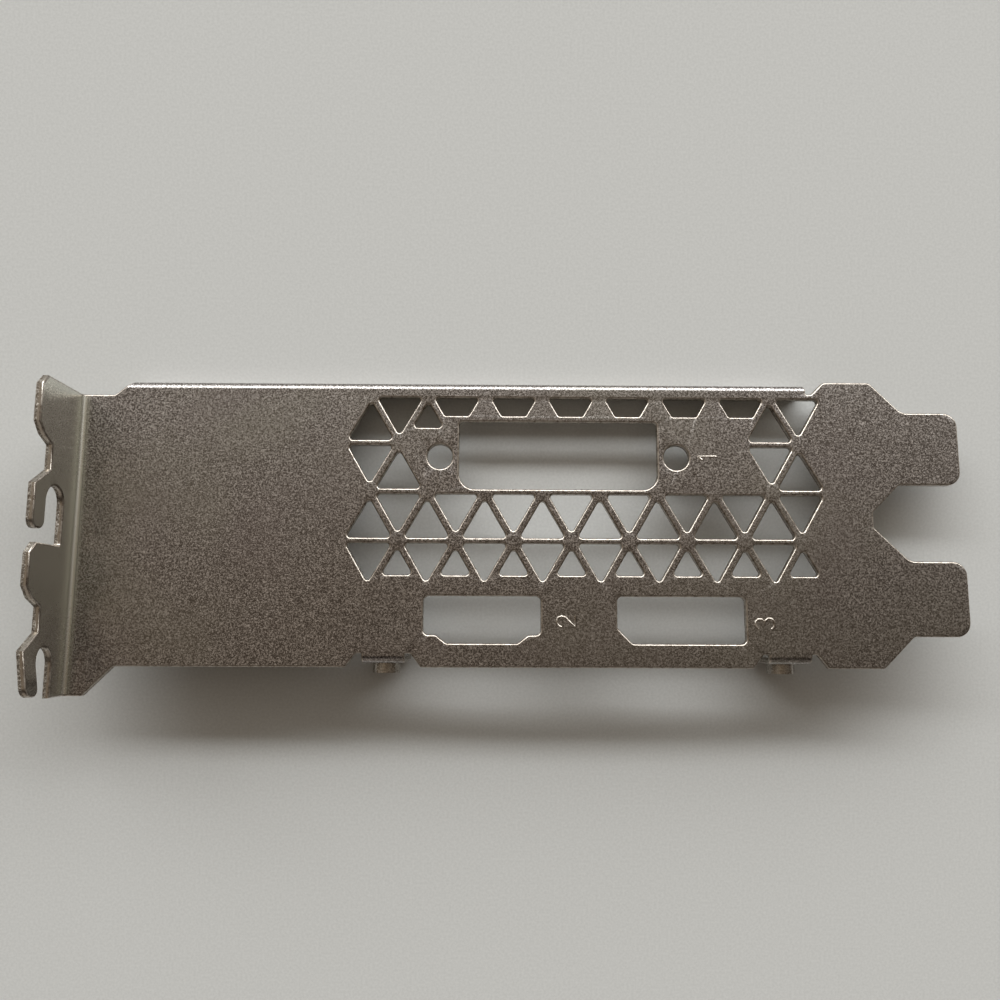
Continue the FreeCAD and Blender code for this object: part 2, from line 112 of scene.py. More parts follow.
class Graph:
    """Builds the nodes of one material or world."""

    def __init__(self, tree: bpy.types.NodeTree) -> None:
        """Starts from an empty node tree."""
        self.tree = tree
        self.tree.nodes.clear()

    def add(self, kind: str, settings: dict[str, Any], inputs: dict[Any, Any]) -> bpy.types.Node:
        """Adds a node.

        Args:
            kind: The node's type.
            settings: Properties of the node, set before its sockets.
            inputs: Values, numbers, colours or vectors by socket name or place.

        Returns:
            The new node.
        """
        made = self.tree.nodes.new(kind)
        for name, setting in settings.items():
            setattr(made, name, setting)
        for name, given in inputs.items():
            if isinstance(given, Value):
                self.tree.links.new(given.socket, made.inputs[name])
            else:
                made.inputs[name].default_value = given
        return made

    def node(self, kind: str, settings: dict[str, Any], inputs: dict[Any, Any], output: Any = 0) -> Value:
        """Adds a node and gives one of its outputs.

        Args:
            kind: The node's type.
            settings: Properties of the node, set before its sockets.
            inputs: Values, numbers, colours or vectors by socket name or place.
            output: The socket to go on with, by name or place.

        Returns:
            The chosen output socket.
        """
        return Value(self, self.add(kind, settings, inputs).outputs[output])

    def mix(self, factor: Value, low: Any, high: Any) -> Value:
        """Mixes two colours.

        Args:
            factor: Share of the second colour.
            low: Colour at factor 0.
            high: Colour at factor 1.

        Returns:
            The mixed colour.
        """
        return self.node("ShaderNodeMix", {"data_type": "RGBA"}, {0: factor, 6: low, 7: high}, output=2)

    def place(self) -> Value:
        """Position on the object in metres."""
        return self.node("ShaderNodeTexCoord", {}, {}, output="Object")

    def axis(self, vector: Value, name: str) -> Value:
        """Share of a vector along X, Y or Z."""
        return self.node("ShaderNodeSeparateXYZ", {}, {0: vector}, output=name)

    def noise(self, place: Value, size: float, detail: float = 2.0, rough: float = 0.5) -> Value:
        """Noise with features of a given size.

        Args:
            place: Position in metres.
            size: Size of a feature in metres.
            detail: Octaves of finer noise.
            rough: Share of the finer octaves.

        Returns:
            A value round NOISE_MIDDLE.
        """
        sockets = {"Vector": place, "Scale": 1.0 / size, "Detail": detail, "Roughness": rough}
        return self.node("ShaderNodeTexNoise", {}, sockets)

    def bump(self, height: Value, strength: float, depth: float) -> Value:
        """Normal of a surface raised by height.

        Args:
            height: Value from 0 to 1.
            strength: How much of the relief shows.
            depth: Height of the relief in metres.

        Returns:
            A normal.
        """
        return self.node("ShaderNodeBump", {}, {"Strength": strength, "Distance": depth, "Height": height})

    def surface(self, sockets: dict[str, Any]) -> None:
        """Ends a material in a Principled shader with the given sockets."""
        shader = self.node("ShaderNodeBsdfPrincipled", {}, sockets)
        self.add("ShaderNodeOutputMaterial", {}, {"Surface": shader})


def rgba(colour: Colour) -> tuple[float, float, float, float]:
    """Colour with full alpha."""
    return (*colour, 1.0)


def new_material(name: str) -> tuple[bpy.types.Material, Graph]:
    """Makes an empty material.

    Args:
        name: The material's name.

    Returns:
        The material and a graph on its node tree.
    """
    material = bpy.data.materials.new(name)
    material.use_nodes = True
    return material, Graph(material.node_tree)


def add_object(name: str, data: bpy.types.ID) -> bpy.types.Object:
    """Puts an object into the scene.

    Args:
        name: The object's name.
        data: Its mesh, curve, lamp or camera.

    Returns:
        The new object.
    """
    made = bpy.data.objects.new(name, data)
    bpy.context.scene.collection.objects.link(made)
    return made


@dataclass(frozen=True)
class PlatedSkin:
    """Satin nickel plating on the sheet's faces, with a fine grain that fades on the end tab; the end tab
    is painted paler for the light it catches, and a line of painted shade lies in its fold.
    """

    name: str = "plated_skin"
    dark: Colour = (0.135, 0.12, 0.112)
    light: Colour = (0.675, 0.64, 0.625)
    olive: Colour = (0.31, 0.297, 0.25)
    plum: Colour = (0.277, 0.24, 0.246)
    # Painted light: paler colour on the end tab, standing in for the light that falls on it
    painted_lit_tab: Colour = (0.70, 0.695, 0.63)
    grain_size: float = 0.13 * MM
    speck_size: float = 0.247 * MM
    cloud_size: float = 22.0 * MM
    blush_size: float = 13.2 * MM
    grain_share: float = 0.6
    speck_share: float = 0.4
    light_span: Span = (0.41, 0.68)
    olive_span: Span = (0.45, 0.7)
    olive_share: float = 0.35
    plum_span: Span = (0.5, 0.75)
    plum_share: float = 0.22
    tab_span: Span = (-58.8 * MM, -57.9 * MM)
    painted_lit_tab_share: float = 0.9
    tab_grain: float = 0.25
    # Painted shade: a dark line along the inner fold of the end tab
    crease_shade_start: Span = (-58.62 * MM, -58.5 * MM)
    crease_shade_end: Span = (-58.5 * MM, -58.36 * MM)
    crease_shade_share: float = 0.5
    roughness: float = 0.275
    grain_matt: float = 0.3
    cloud_matt: float = 0.08
    relief_share: float = 0.5
    relief_depth: float = 0.03 * MM

    def material(self) -> bpy.types.Material:
        """Builds the material of the plated faces.

        Returns:
            The new material.
        """
        material, graph = new_material(self.name)
        place = graph.place()
        along = graph.axis(place, "X")
        on_plate = along.ramp(self.tab_span)
        grain = graph.noise(place, self.grain_size, detail=1.0, rough=0.6)
        speck = graph.noise(place, self.speck_size, detail=1.0)
        cloud = graph.noise(place, self.cloud_size)
        blush = graph.noise(place, self.blush_size, detail=1.0)
        uneven = grain * self.grain_share + speck * self.speck_share - NOISE_MIDDLE
        relief = uneven * (on_plate * (1 - self.tab_grain) + self.tab_grain) + NOISE_MIDDLE
        colour = graph.mix(relief.ramp(self.light_span), rgba(self.dark), rgba(self.light))
        colour = graph.mix(cloud.ramp(self.olive_span) * self.olive_share, colour, rgba(self.olive))
        colour = graph.mix(blush.ramp(self.plum_span) * self.plum_share, colour, rgba(self.plum))
        # Painted light: the end tab is turned paler
        colour = graph.mix((1 - on_plate) * self.painted_lit_tab_share, colour, rgba(self.painted_lit_tab))
        # Painted shade in the end tab's fold, mixed towards the dark plating colour
        crease_shade = along.ramp(self.crease_shade_start) * (1 - along.ramp(self.crease_shade_end))
        colour = graph.mix(crease_shade * self.crease_shade_share, colour, rgba(self.dark))
        roughness = self.roughness + (relief - NOISE_MIDDLE) * self.grain_matt
        graph.surface({
            "Base Color": colour,
            "Metallic": 1.0,
            "Roughness": roughness + (cloud - NOISE_MIDDLE) * self.cloud_matt,
            "Normal": graph.bump(relief, self.relief_share, self.relief_depth),
        })
        return material


@dataclass(frozen=True)
class DrawnEdge:
    """Edge that the punch drew in: smooth and dark, with a sharp glint towards the light."""

    dark: Colour = (0.30, 0.262, 0.225)
    light: Colour = (0.50, 0.458, 0.41)
    ripple_size: float = 0.5 * MM
    light_span: Span = (0.3, 0.7)
    roughness: float = 0.29
    ripple_matt: float = 0.16
    relief_share: float = 0.2
    relief_depth: float = 0.03 * MM

    def material(self) -> bpy.types.Material:
        """Builds the material of the drawn-in edges.

        Returns:
            The new material.
        """
        material, graph = new_material("drawn_edge")
        ripple = graph.noise(graph.place(), self.ripple_size)
        graph.surface({
            "Base Color": graph.mix(ripple.ramp(self.light_span), rgba(self.dark), rgba(self.light)),
            "Metallic": 1.0,
            "Roughness": self.roughness + (ripple - NOISE_MIDDLE) * self.ripple_matt,
            "Normal": graph.bump(ripple, self.relief_share, self.relief_depth),
        })
        return material


@dataclass(frozen=True)
class CutEdge:
    """Sheared walls of the sheet: a burnished band under the outer face, then torn with bright flecks."""

    dark: Colour = (0.13, 0.105, 0.08)
    fleck: Colour = (0.58, 0.545, 0.49)
    burnished: Colour = (0.42, 0.38, 0.33)
    fleck_size: float = 0.14 * MM
    torn_size: float = 0.56 * MM
    torn_reach: float = 0.7
    torn_span: Span = (0.34, 0.5)
    fleck_share: float = 0.6
    torn_share: float = 0.4
    fleck_span: Span = (0.45, 0.66)
    roughness: float = 0.46
    burnish: float = 0.18
    torn_matt: float = 0.2
    uneven_matt: float = 0.3
    relief_share: float = 0.7
    relief_depth: float = 0.06 * MM

    def material(self) -> bpy.types.Material:
        """Builds the material of the sheared walls.

        Returns:
            The new material.
        """
        material, graph = new_material("cut_edge")
        place = graph.place()
        fleck = graph.noise(place, self.fleck_size)
        torn = graph.noise(place, self.torn_size, detail=3.0, rough=0.6)
        depth = graph.node("ShaderNodeAttribute", {"attribute_name": WALL_DEPTH}, {}, output="Fac")
        fractured = (depth + (torn - NOISE_MIDDLE) * self.torn_reach).ramp(self.torn_span)
        bright = (fleck * self.fleck_share + torn * self.torn_share).ramp(self.fleck_span)
        rough_colour = graph.mix(bright, rgba(self.dark), rgba(self.fleck))
        roughness = self.roughness - self.burnish + fractured * self.torn_matt
        graph.surface({
            "Base Color": graph.mix(fractured, rgba(self.burnished), rough_colour),
            "Metallic": 1.0,
            "Roughness": roughness + (torn - NOISE_MIDDLE) * self.uneven_matt,
            "Normal": graph.bump(torn * fractured, self.relief_share, self.relief_depth),
        })
        return material


@dataclass(frozen=True)
class PaleFloor:
    """Matt pale ground with a faint tooth."""

    dark: Colour = (0.53, 0.53, 0.515)
    light: Colour = (0.60, 0.60, 0.585)
    tooth_size: float = 0.35 * MM
    light_span: Span = (0.2, 0.8)
    roughness: float = 0.88
    tooth_matt: float = 0.1
    shine: float = 0.2
    relief_share: float = 0.12
    relief_depth: float = 0.02 * MM
    reach: float = 1.5

    def material(self) -> bpy.types.Material:
        """Builds the ground's material.

        Returns:
            The new material.
        """
        material, graph = new_material("pale_floor")
        tooth = graph.noise(graph.place(), self.tooth_size, detail=3.0)
        graph.surface({
            "Base Color": graph.mix(tooth.ramp(self.light_span), rgba(self.dark), rgba(self.light)),
            "Roughness": self.roughness + (tooth - NOISE_MIDDLE) * self.tooth_matt,
            "Specular IOR Level": self.shine,
            "Normal": graph.bump(tooth, self.relief_share, self.relief_depth),
        })
        return material

    def build(self) -> bpy.types.Object:
        """Lays the ground under the part.

        Returns:
            The ground.
        """
        half = self.reach / 2
        mesh = bpy.data.meshes.new("floor")
        corners = [(-half, -half, 0), (half, -half, 0), (half, half, 0), (-half, half, 0)]
        mesh.from_pydata(corners, [], [(0, 1, 2, 3)])
        mesh.materials.append(self.material())
        floor = add_object("floor", mesh)
        return floor


class Zone(Enum):
    """Surfaces of the sheet that differ in finish, by material slot."""

    SKIN = 0
    CUT = 1
    DRAWN = 2
    INNER = 3


# Finish of each surface; the paler plating on the inner side is painted light, a brighter copy of the
# plating that throws more light onto the floor under the plate
SHEET_FINISHES: dict[Zone, PlatedSkin | CutEdge | DrawnEdge] = {
    Zone.SKIN: PlatedSkin(),
    Zone.CUT: CutEdge(),
    Zone.DRAWN: DrawnEdge(),
    Zone.INNER: PlatedSkin(name="inner_skin_painted_pale", dark=(0.30, 0.27, 0.24), light=(0.72, 0.68, 0.62)),
}


@dataclass(frozen=True)
class Fold:
    """Outer round of a fold, with its axis across the plate and along the plate's normal."""

    across: str
    axis: tuple[float, float]
    radius: float

    def distance(self, point: Vector) -> float:
        """Distance of a point from the round."""
        reach = math.hypot(getattr(point, self.across) - self.axis[0], point.z - self.axis[1])
        return abs(reach - self.radius)


@dataclass
class SheetFrame:
    """Where the flat sheet lies in the part's frame, in millimetres, from the sizes of its folds."""

    sheet: float = 0.86
    length: float = 120.02
    width: float = 38.74
    tab_drop: float = 3.81
    flange_depth: float = 3.8
    flange_inset: float = 0.4
    card_tab_depth: float = 9.8
    card_tab_inset: float = 0.55
    fold_outside: float = 1.0
    chassis_fold_inside: float = 0.5
    first_boss: float = 42.25
    boss_pitch: float = 53.65
    close: float = 0.02
    square: float = 0.99

    @property
    def flange_face(self) -> float:
        """Outer face of the flange across the plate."""
        return self.width - self.flange_inset

    @property
    def tilt(self) -> float:
        """Lean of the plate when flange and card tabs rest on the ground, in radians."""
        span = self.flange_face - self.card_tab_inset - self.sheet
        return math.atan((self.card_tab_depth - self.flange_depth) / span)

    @property
    def folds(self) -> list[Fold]:
        """Outer rounds of the flange, the card tabs and the end tab."""
        round_side, tab_side = self.fold_outside, self.chassis_fold_inside
        return [
            Fold("y", (self.flange_face - round_side, -round_side), round_side),
            Fold("y", (self.card_tab_inset + round_side, -round_side), round_side),
            Fold("x", (self.sheet + tab_side, tab_side), tab_side),
        ]

    def to_part(self) -> Matrix:
        """Finds the way from the plate to the part.

        Returns:
            Matrix from plate millimetres to the part's frame in metres.
        """
        cosine, sine = math.cos(self.tilt), math.sin(self.tilt)
        shift = Vector((
            -self.length / 2,
            -((self.width - self.tab_drop) * cosine - self.sheet * sine) / 2,
            self.flange_face * sine + self.flange_depth * cosine,
        ))
        turned = Matrix.Translation(shift) @ Matrix.Rotation(-self.tilt, 4, "X")
        return Matrix.Scale(MM, 4) @ turned

    def near(self, place: float, level: float) -> bool:
        """Tells whether two measures agree."""
        return abs(place - level) < self.close

    def is_skin(self, face: bmesh.types.BMFace) -> bool:
        """Tells whether a face lies on the side of the sheet that the punch entered.

        Args:
            face: Face in plate millimetres.

        Returns:
            True on the outer faces and on the outer rounds of the folds.
        """
        middle, normal = face.calc_center_median(), face.normal
        flat = (
            (normal.z > self.square and self.near(middle.z, 0))
            or (normal.x > self.square and self.near(middle.x, self.sheet))
            or (normal.y > self.square and self.near(middle.y, self.flange_face) and middle.z < -self.sheet)
            or (normal.y < -self.square and self.near(middle.y, self.card_tab_inset))
        )
        if flat or abs(normal.x) > self.square:
            return flat
        return any(all(self.near(fold.distance(vert.co), 0) for vert in face.verts) for fold in self.folds)


@dataclass
class LeaningProng:
    """The lower prong of the end tab, bent a little towards the plate, in plate millimetres."""

    root: float = 4.4
    tip: float = -3.22
    low: float = 5.6
    high: float = 7.6
    lean: float = 0.95
    tab_reach: float = 2.0
    even_share: float = 0.35

    def bend(self, mesh: bmesh.types.BMesh) -> None:
        """Moves the prong's points along the plate, more towards its tip.

        Args:
            mesh: The sheet in plate millimetres.
        """
        for vert in mesh.verts:
            point = vert.co
            if point.x > self.tab_reach or point.y > self.root or point.z < self.low:
                continue
            along = (self.root - point.y) / (self.root - self.tip)
            up = min(1.0, (point.z - self.low) / (self.high - self.low))
            point.x += self.lean * (self.even_share * along + (1 - self.even_share) * along * along) * up


class RingEnd(Enum):
    """Ends of the row of points that rounds a drawn-in corner."""

    OUTER = 0
    WALL = -1


@dataclass(frozen=True)
class PunchedEdge:
    """Edge of the outer side with a wall beside it: its two points, the outer face and the wall."""

    first: int
    second: int
    face: int
    wall: int


def sides_of(face: Corners) -> Iterator[tuple[int, int]]:
    """Sides of a face, each from one corner to the next."""
    return zip(face, face[1:] + face[:1])


def set_back(corners: Corners, rings: Rings, end: RingEnd) -> Corners:
    """Corners of a face or edge, those that are drawn in moved to one end of their rings."""
    return tuple(rings[point][end.value] if point in rings else point for point in corners)


@dataclass
class DrawnEdges:
    """Rounds the edges that the punch drew in, on a triangle mesh in plate millimetres."""

    mesh: bmesh.types.BMesh
    plate: SheetFrame
    radius: float = 0.24
    turns: tuple[float, ...] = (0.0, 22.5, 45.0, 67.5, 90.0)
    wall_turn: float = math.cos(math.radians(35))
    same_plane: float = 0.99999
    least_patch: int = 12
    sharpest_mitre: float = -0.5
    hull_of_triangles: int = 0
    touch: float = 1e-6

    def __post_init__(self) -> None:
        """Reads the points and faces and finds which of them lie on the outer side."""
        self.mesh.verts.index_update()
        self.points = [vert.co.copy() for vert in self.mesh.verts]
        self.faces = [tuple(vert.index for vert in face.verts) for face in self.mesh.faces]
        self.normals = [face.normal.copy() for face in self.mesh.faces]
        self.skin = [self.plate.is_skin(face) for face in self.mesh.faces]
        self.sides = {side: index for index, face in enumerate(self.faces) for side in sides_of(face)}

    def inward(self, index: int, first: int, second: int) -> Vector:
        """Direction from an edge into one of its faces, in the plane of the face.

        Args:
            index: The face.
            first: Point at which the face's edge starts.
            second: Point at which the face's edge ends.

        Returns:
            A unit vector.
        """
        return self.normals[index].cross((self.points[second] - self.points[first]).normalized())

    def punched(self) -> list[PunchedEdge]:
        """Finds the outer edges with a wall beside them.

        Returns:
            The edges at which the sheet ends.
        """
        found = []
        for (first, second), face in self.sides.items():
            wall = self.sides.get((second, first))
            if wall is None or not self.skin[face] or self.skin[wall]:
                continue
            sharp = self.normals[face].dot(self.normals[wall]) < self.wall_turn
            if sharp and self.normals[face].dot(self.inward(wall, second, first)) < 0:
                found.append(PunchedEdge(first, second, face, wall))
        return found

    def walls(self, starts: list[int]) -> set[int]:
        """Finds the faces of the walls.

        Args:
            starts: Faces beside punched edges, from which the walls spread.

        Returns:
            All faces of the walls.
        """
        found, waiting = set(starts), list(starts)
        while waiting:
            index = waiting.pop()
            for first, second in sides_of(self.faces[index]):
                beside = self.sides.get((second, first))
                if beside is None or beside in found or self.skin[beside]:
                    continue
                if self.normals[index].dot(self.normals[beside]) > self.wall_turn:
                    found.add(beside)
                    waiting.append(beside)
        return found

    def flat_patches(self) -> list[list[int]]:
        """Finds the larger groups of outer faces that lie side by side in one plane.

        Returns:
            The faces of each group.
        """
        patches, seen = [], set()
        for start, skin in enumerate(self.skin):
            if not skin or start in seen:
                continue
            seen.add(start)
            patch = [start]
            for index in patch:
                for first, second in sides_of(self.faces[index]):
                    beside = self.sides.get((second, first))
                    if beside is None or beside in seen or not self.skin[beside]:
                        continue
                    if self.normals[start].dot(self.normals[beside]) > self.same_plane:
                        seen.add(beside)
                        patch.append(beside)
            if len(patch) >= self.least_patch:
                patches.append(patch)
        return patches

    def border(self, patch: list[int], rings: Rings) -> list[Corners]:
        """Finds the edges round a patch, set back where they are drawn in.

        Args:
            patch: Faces of the patch.
            rings: Points round each drawn-in corner, from the outer side to the wall.

        Returns:
            Edges with the patch on their left.
        """
        own = set(patch)
        found = []
        for index in patch:
            for first, second in sides_of(self.faces[index]):
                if self.sides.get((second, first)) not in own:
                    found.append(set_back((first, second), rings, RingEnd.OUTER))
        return found

    @staticmethod
    def inside(faces: list[Corners], edges: list[tuple[int, int]]) -> list[int]:
        """Finds the faces within a border.

        Args:
            faces: Triangles that cover the border's hull.
            edges: Edges of the border, with its inside on their left.

        Returns:
            Places of the faces in the list.
        """
        sides = {side: index for index, face in enumerate(faces) for side in sides_of(face)}
        closed = {*edges, *((second, first) for first, second in edges)}
        kept = {sides[edge] for edge in edges}
        waiting = sorted(kept)
        while waiting:
            for first, second in sides_of(faces[waiting.pop()]):
                beside = sides.get((second, first))
                if (first, second) in closed or beside is None or beside in kept:
                    continue
                kept.add(beside)
                waiting.append(beside)
        return sorted(kept)

    def fill(self, patch: list[int], rings: Rings, points: list[Vector]) -> list[Corners]:
        """Covers a flat patch afresh inside its drawn-in border.

        Args:
            patch: Faces of the patch.
            rings: Points round each drawn-in corner, from the outer side to the wall.
            points: All points.

        Returns:
            Triangles on the same points.
        """
        border = self.border(patch, rings)
        names = sorted({point for edge in border for point in edge})
        place = {name: index for index, name in enumerate(names)}
        turn = self.normals[patch[0]].to_track_quat("Z", "Y").to_matrix().inverted()
        flat = [(turn @ points[name]).to_2d() for name in names]
        edges = [(place[first], place[second]) for first, second in border]
        covered = geometry.delaunay_2d_cdt(flat, edges, [], self.hull_of_triangles, self.touch)
        _, _, made, sources, _, _ = covered
        faces = [tuple(sources[point][0] for point in face) for face in made]
        return [tuple(names[point] for point in faces[index]) for index in self.inside(faces, edges)]

    def mitre(self, parts: list[Vector]) -> Vector:
        """Finds how a corner moves when the edges at it move by 1.

        Args:
            parts: Unit vectors along which one or two edges move.

        Returns:
            Vector whose share along each of them is 1, held back at a very sharp corner.
        """
        if len(parts) < 2:
            return parts[0]
        return (parts[0] + parts[1]) / (1 + max(self.sharpest_mitre, parts[0].dot(parts[1])))

    def roll(self, edges: list[PunchedEdge], points: list[Vector]) -> Rings:
        """Adds the points that round the punched edges.

        Args:
            edges: The punched edges.
            points: All points, to which the new ones are added.

        Returns:
            Points round each drawn-in corner, from the outer side to the wall.
        """
        into_skin: dict[int, list[Vector]] = {}
        into_wall: dict[int, list[Vector]] = {}
        for edge in edges:
            for point in (edge.first, edge.second):
                into_skin.setdefault(point, []).append(self.inward(edge.face, edge.first, edge.second))
                into_wall.setdefault(point, []).append(self.inward(edge.wall, edge.second, edge.first))
        rings: Rings = {}
        for point, parts in into_skin.items():
            along = self.mitre(parts) * self.radius
            down = self.mitre(into_wall[point]) * self.radius
            corner = self.points[point]
            rings[point] = list(range(len(points), len(points) + len(self.turns)))
            for turn in (math.radians(angle) for angle in self.turns):
                points.append(corner + along * (1 - math.sin(turn)) + down * (1 - math.cos(turn)))
        return rings

    def rounded(self, name: str) -> bpy.types.Mesh:
        """Makes the mesh with its rounded edges.

        Args:
            name: Name of the mesh.

        Returns:
            A mesh with the finish of each face set.
        """
        edges = self.punched()
        points = list(self.points)
        rings = self.roll(edges, points)
        walls = self.walls([edge.wall for edge in edges])
        patches = self.flat_patches()
        faces = [face for patch in patches for face in self.fill(patch, rings, points)]
        zones = [Zone.SKIN] * len(faces)
        covered = {index for patch in patches for index in patch}
        for index, face in enumerate(self.faces):
            if index in covered:
                continue
            faces.append(set_back(face, rings, RingEnd.OUTER if self.skin[index] else RingEnd.WALL))
            zones.append(Zone.SKIN if self.skin[index] else Zone.CUT if index in walls else Zone.INNER)
        for edge in edges:
            near, far = rings[edge.first], rings[edge.second]
            for step in range(len(self.turns) - 1):
                faces.append((far[step], near[step], near[step + 1], far[step + 1]))
                zones.append(Zone.DRAWN)
        data = bpy.data.meshes.new(name)
        data.from_pydata(points, [], faces)
        data.polygons.foreach_set("material_index", [zone.value for zone in zones])
        depth = data.attributes.new(WALL_DEPTH, "FLOAT", "POINT")
        drawn_points = len(points) - len(self.points)
        depth.data.foreach_set("value", [1.0] * len(self.points) + [0.0] * drawn_points)
        LOG.info("%s: %d edges drawn in, %d wall faces", name, len(edges), len(walls))
        return data


@dataclass
class FoldedSheet:
    """The bracket's one sheet, with the rounded edges that its punch drew in."""

    plate: SheetFrame
    prong: LeaningProng
    name: str = "folded_sheet"
    weld: float = 0.002
    sharp: float = math.radians(40)

    def shape(self) -> bpy.types.Mesh:
        """Shapes the sheet from its solid.

        Returns:
            A closed mesh with the finish of each face set.
        """
        to_part = self.plate.to_part()
        mesh = bmesh.new()
        mesh.from_mesh(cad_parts[NODE].data)
        mesh.transform(to_part.inverted())
        bmesh.ops.remove_doubles(mesh, verts=mesh.verts, dist=self.weld)
        mesh.normal_update()
        data = DrawnEdges(mesh, self.plate).rounded(self.name)
        mesh.clear()
        mesh.from_mesh(data)
        loose = [vert for vert in mesh.verts if not vert.link_faces]
        bmesh.ops.delete(mesh, geom=loose, context="VERTS")
        bmesh.ops.holes_fill(mesh, edges=[edge for edge in mesh.edges if edge.is_boundary], sides=0)
        self.prong.bend(mesh)
        mesh.transform(to_part)
        mesh.normal_update()
        mesh.to_mesh(data)
        mesh.free()
        return data

    def build(self) -> bpy.types.Object:
        """Builds the dressed sheet in place of its solid.

        Returns:
            The sheet.
        """
        data = self.shape()
        data.shade_smooth()
        data.set_sharp_from_angle(angle=self.sharp)
        for zone in Zone:
            data.materials.append(SHEET_FINISHES[zone].material())
        sheet = add_object(self.name, data)
        weighted = sheet.modifiers.new("even_normals", "WEIGHTED_NORMAL")
        weighted.keep_sharp = True
        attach(sheet, BODY)
        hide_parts(NODE)
        return sheet


@dataclass
class BossThread:
    """Helical ridge of the M3 thread in a card tab's boss, in plate millimetres."""

    plate: SheetFrame
    column: float
    name: str
    finish: CutEdge = CutEdge(dark=(0.24, 0.21, 0.18), roughness=0.35)
    depth: float = 4.7
    bore_radius: float = 1.25
    crest_height: float = 0.14
    crest_half: float = 0.05
    foot_sink: float = 0.02
    foot_half: float = 0.22
    pitch: float = 0.5
    run_out: float = 0.4
    start: float = -0.85
    end: float = 1.06
    steps: int = 36

    def section(self, share: float) -> list[tuple[float, float]]:
        """Finds the ridge's section.

        Args:
            share: Share of its full height.

        Returns:
            Radius and shift along the bore of each corner.
        """
        foot = self.bore_radius + self.foot_sink
        crest = self.bore_radius - self.crest_height * share
        near_side = [(foot, -self.foot_half), (crest, -self.crest_half)]
        return near_side + [(radius, -shift) for radius, shift in reversed(near_side)]

    def shape(self) -> bpy.types.Mesh:
        """Sweeps the section round the bore.

        Returns:
            A closed mesh in plate millimetres.
        """
        count = int((self.end - self.start - self.pitch) / self.pitch * self.steps)
        fade = self.steps * self.run_out
        corners = len(self.section(0.0))
        points, faces = [], []
        for index in range(count + 1):
            turn = 2 * math.pi * index / self.steps
            along = self.start + self.pitch * (0.5 + index / self.steps)
            share = min(1.0, index / fade, (count - index) / fade)
            for radius, shift in self.section(share):
                x, z = radius * math.cos(turn), radius * math.sin(turn)
                points.append((self.column + x, along + shift, z - self.depth))
        for start in range(0, count * corners, corners):
            for row in range(corners):
                low, high = start + row, start + (row + 1) % corners
                faces.append((low, low + corners, high + corners, high))
        last = count * corners
        faces.append(tuple(range(corners)))
        faces.append(tuple(reversed(range(last, last + corners))))
        mesh = bpy.data.meshes.new(self.name)
        mesh.from_pydata(points, [], faces)
        return mesh

    def build(self) -> bpy.types.Object:
        """Builds the dressed ridge.

        Returns:
            The ridge.
        """
        mesh = self.shape()
        mesh.transform(self.plate.to_part())
        mesh.materials.append(self.finish.material())
        mesh.shade_smooth()
        thread = add_object(self.name, mesh)
        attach(thread, BODY)
        return thread


@dataclass(frozen=True)
class NumberMark:
    """One plain number: its middle on the plate in millimetres, and its line in a box from 0 to 1."""

    middle: tuple[float, float]
    line: tuple[tuple[float, float], ...]


ONE = NumberMark(middle=(85.6, 28.2), line=((0.25, 0.78), (0.55, 1.0), (0.55, 0.0)))
TWO = NumberMark(middle=(66.3, 6.1), line=(
    (0.02, 0.74), (0.12, 0.92), (0.42, 1.0), (0.74, 0.93), (0.86, 0.74), (0.76, 0.54),
    (0.0, 0.0), (0.92, 0.0),
))
THREE = NumberMark(middle=(92.6, 5.9), line=(
    (0.05, 0.86), (0.25, 0.98), (0.6, 0.99), (0.8, 0.86), (0.8, 0.68), (0.62, 0.54), (0.36, 0.52),
    (0.66, 0.48), (0.86, 0.34), (0.86, 0.16), (0.64, 0.01), (0.28, 0.0), (0.02, 0.14),
))


@dataclass
class PortNumbers:
    """Plain stamped numbers beside the port openings, read from the plate's right side."""

    plate: SheetFrame
    name: str = "port_numbers"
    marks: tuple[NumberMark, ...] = (ONE, TWO, THREE)
    finish: DrawnEdge = DrawnEdge()
    height: float = 2.5
    width: float = 1.7
    stroke: float = 0.24
    stroke_facets: int = 3
    sink: float = 0.13

    def shape(self) -> bpy.types.Mesh:
        """Sweeps each number's stroke.

        Returns:
            The numbers as one mesh in plate millimetres.
        """
        curve = bpy.data.curves.new(self.name, "CURVE")
        curve.dimensions = "3D"
        curve.bevel_depth = self.stroke
        curve.bevel_resolution = self.stroke_facets
        curve.use_fill_caps = True
        for mark in self.marks:
            spline = curve.splines.new("POLY")
            spline.points.add(len(mark.line) - 1)
            for point, (across, up) in zip(spline.points, mark.line):
                x = mark.middle[0] + (0.5 - up) * self.height
                y = mark.middle[1] + (across - 0.5) * self.width
                point.co = (x, y, -self.sink, 1.0)
        drawn = add_object("port_numbers_line", curve)
        bpy.context.view_layer.update()
        data = bpy.data.meshes.new_from_object(drawn.evaluated_get(bpy.context.evaluated_depsgraph_get()))
        bpy.data.objects.remove(drawn)
        data.name = self.name
        return data

    def build(self) -> bpy.types.Object:
        """Builds the dressed numbers as one piece.

        Returns:
            The numbers.
        """
        data = self.shape()
        data.transform(self.plate.to_part())
        data.materials.clear()
        data.materials.append(self.finish.material())
        data.shade_smooth()
        numbers = add_object(self.name, data)
        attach(numbers, BODY)
        return numbers


